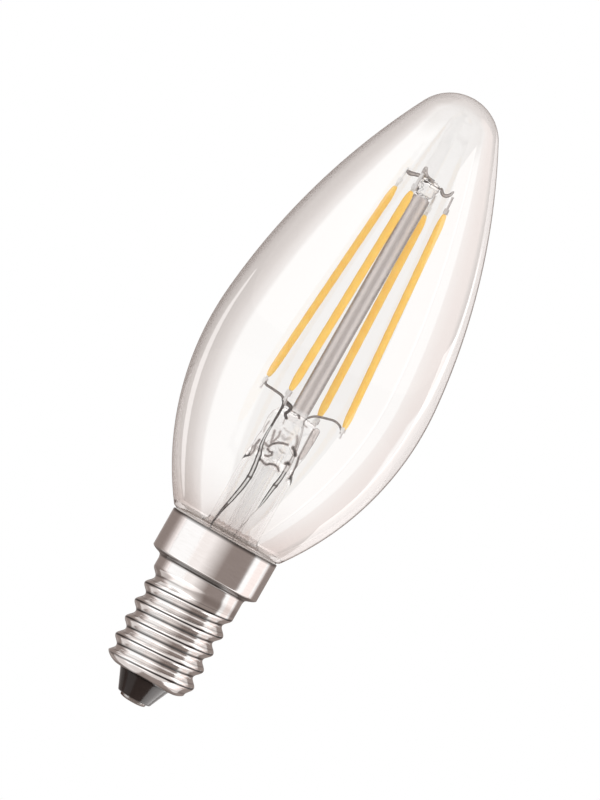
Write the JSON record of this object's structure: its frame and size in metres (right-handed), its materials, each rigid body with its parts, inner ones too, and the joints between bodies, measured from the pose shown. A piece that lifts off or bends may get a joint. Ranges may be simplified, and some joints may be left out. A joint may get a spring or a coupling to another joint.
{
  "type": "led filament candle bulb",
  "caption": "Clear glass candle bulb with LED filament strips on a glass mount and a small E14 screw cap, for lamp holders and chandeliers.",
  "frame": {"origin": "centre of the end contact's flat face, on the bulb's axis", "axes": "+Z along the bulb's axis from the end contact to the glass tip; -Y is the side that the picture shows"},
  "size_m": [0.035, 0.035, 0.0997],
  "materials": {
    "clear_glass": "clear polished",
    "stem_glass": "clear fire-polished",
    "rod_glass": "grey-tinted, fire-polished",
    "wire_metal": "drawn wire",
    "carrier_ceramic": "matt",
    "phosphor": "soft silicone",
    "tab_metal": "plated strip",
    "plated_shell": "nickel-plated, bright",
    "cement": "matt",
    "insulator": "moulded",
    "contact_metal": "tinned",
    "board": "solder mask",
    "chip_body": "moulded",
    "capacitor_can": "sleeved can",
    "resistor_body": "lacquered"
  },
  "bodies": {
    "root": {"glass_envelope": "clear_glass", "stem_flare": "stem_glass", "exhaust_tube": "stem_glass", "support_rod": "rod_glass", "top_wire_outer": "wire_metal", "top_wire_inner": "wire_metal", "lead_wire_left": "wire_metal", "lead_wire_right": "wire_metal", "lead_branch_left": "wire_metal", "lead_branch_right": "wire_metal", "carrier_left_rear": "carrier_ceramic", "carrier_left_front": "carrier_ceramic", "carrier_right_rear": "carrier_ceramic", "carrier_right_front": "carrier_ceramic", "phosphor_left_rear": "phosphor", "phosphor_left_front": "phosphor", "phosphor_right_rear": "phosphor", "phosphor_right_front": "phosphor", "upper_tab_left_rear": "tab_metal", "upper_tab_left_front": "tab_metal", "upper_tab_right_rear": "tab_metal", "upper_tab_right_front": "tab_metal", "lower_tab_left_rear": "tab_metal", "lower_tab_left_front": "tab_metal", "lower_tab_right_rear": "tab_metal", "lower_tab_right_front": "tab_metal", "screw_shell": "plated_shell", "cement_ring": "cement", "base_insulator": "insulator", "centre_contact": "contact_metal", "driver_board": "board", "bridge_rectifier": "chip_body", "driver_chip": "chip_body", "smoothing_capacitor": "capacitor_can", "fuse_resistor": "resistor_body", "shell_wire": "wire_metal"}
  },
  "joints": []
}
